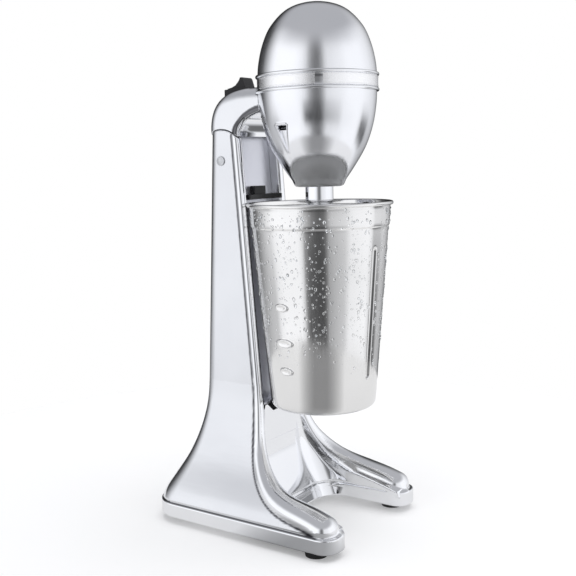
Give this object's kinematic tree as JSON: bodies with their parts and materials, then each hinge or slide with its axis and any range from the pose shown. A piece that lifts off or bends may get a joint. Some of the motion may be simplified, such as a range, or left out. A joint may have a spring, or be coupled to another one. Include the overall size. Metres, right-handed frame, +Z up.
{
  "type": "milkshake mixer",
  "caption": "Chromed milkshake mixer: egg-shaped tilting head on an arch arm, flared column with horseshoe base, spindle drive and a steel cup.",
  "frame": {"origin": "middle of the rectangle the machine covers, at the underside of the feet", "axes": "+Z up, the open side of the base and the cup face -Y, the switch and column are towards +Y, X runs across the machine"},
  "size_m": [0.128, 0.1688, 0.371],
  "materials": {
    "polished_chrome": "polished chrome plate",
    "satin_chrome": "finely brushed, clear of lettering",
    "cup_steel": "bright drawn stainless steel",
    "pale_panel": "smooth satin paint, pale lavender grey",
    "black_plastic": "moulded, satin",
    "foot_rubber": "moulded",
    "zinc_steel": "zinc-plated sheet and screws",
    "core_steel": "stacked electrical sheet",
    "winding_copper": "enamelled winding",
    "bronze": "sintered bronze",
    "carbon": "pressed carbon",
    "label_metal": "bright plain sheet",
    "brown_board": "moulded board"
  },
  "bodies": {
    "stand": {"stand_casing": "polished_chrome", "base_bottom_plate": "zinc_steel", "rubber_feet": "foot_rubber", "base_screws": "zinc_steel", "front_panel": "pale_panel", "rim_guide": "black_plastic", "cup_rest": "black_plastic", "pivot_pin": "polished_chrome", "pivot_bushes": "bronze", "cord_gland": "foot_rubber"},
    "head": {"arm_casing": "polished_chrome", "arm_pivot_bracket": "zinc_steel", "arm_screws": "zinc_steel", "upper_housing": "satin_chrome", "lower_housing": "satin_chrome", "trim_band": "polished_chrome", "label_plates": "label_metal", "switch_bezel": "black_plastic", "switch_terminals": "bronze", "upper_motor_frame": "zinc_steel", "lower_motor_frame": "zinc_steel", "upper_bearing": "bronze", "lower_bearing": "bronze", "stator_core": "core_steel", "field_coils": "winding_copper", "motor_spacers": "zinc_steel", "motor_bolts": "zinc_steel", "brush_holders": "brown_board", "carbon_brushes": "carbon"},
    "rocker_body": {"rocker": "black_plastic"},
    "drive": {"motor_shaft": "zinc_steel", "rotor_core": "core_steel", "rotor_windings": "winding_copper", "commutator": "bronze", "cooling_fan": "black_plastic", "spindle_sleeve": "polished_chrome", "spindle_rod": "polished_chrome", "agitator": "polished_chrome"},
    "cup_body": {"cup": "cup_steel"}
  },
  "joints": [
    {"name": "head_tilt", "type": "hinge", "parent": "stand", "child": "head", "pos_m": [0, 0.03338, 0.265], "axis": [-1, 0, 0], "range_deg": [0, 35]},
    {"name": "cup_tip", "type": "hinge", "parent": "stand", "child": "cup_body", "pos_m": [0, 0.03338, 0.265], "axis": [-1, 0, 0], "range_deg": [0, 35]},
    {"name": "switch_rock", "type": "hinge", "parent": "head", "child": "rocker_body", "pos_m": [0, 0.03338, 0.3115], "axis": [1, 0, 0], "range_deg": [-7, 7]},
    {"name": "drive_spin", "type": "hinge", "parent": "head", "child": "drive", "pos_m": [0, -0.03263, 0.2], "axis": [0, 0, 1], "continuous": true}
  ],
  "couplings": [
    {"joint": "cup_tip", "follows": "head_tilt", "ratio": 1}
  ]
}
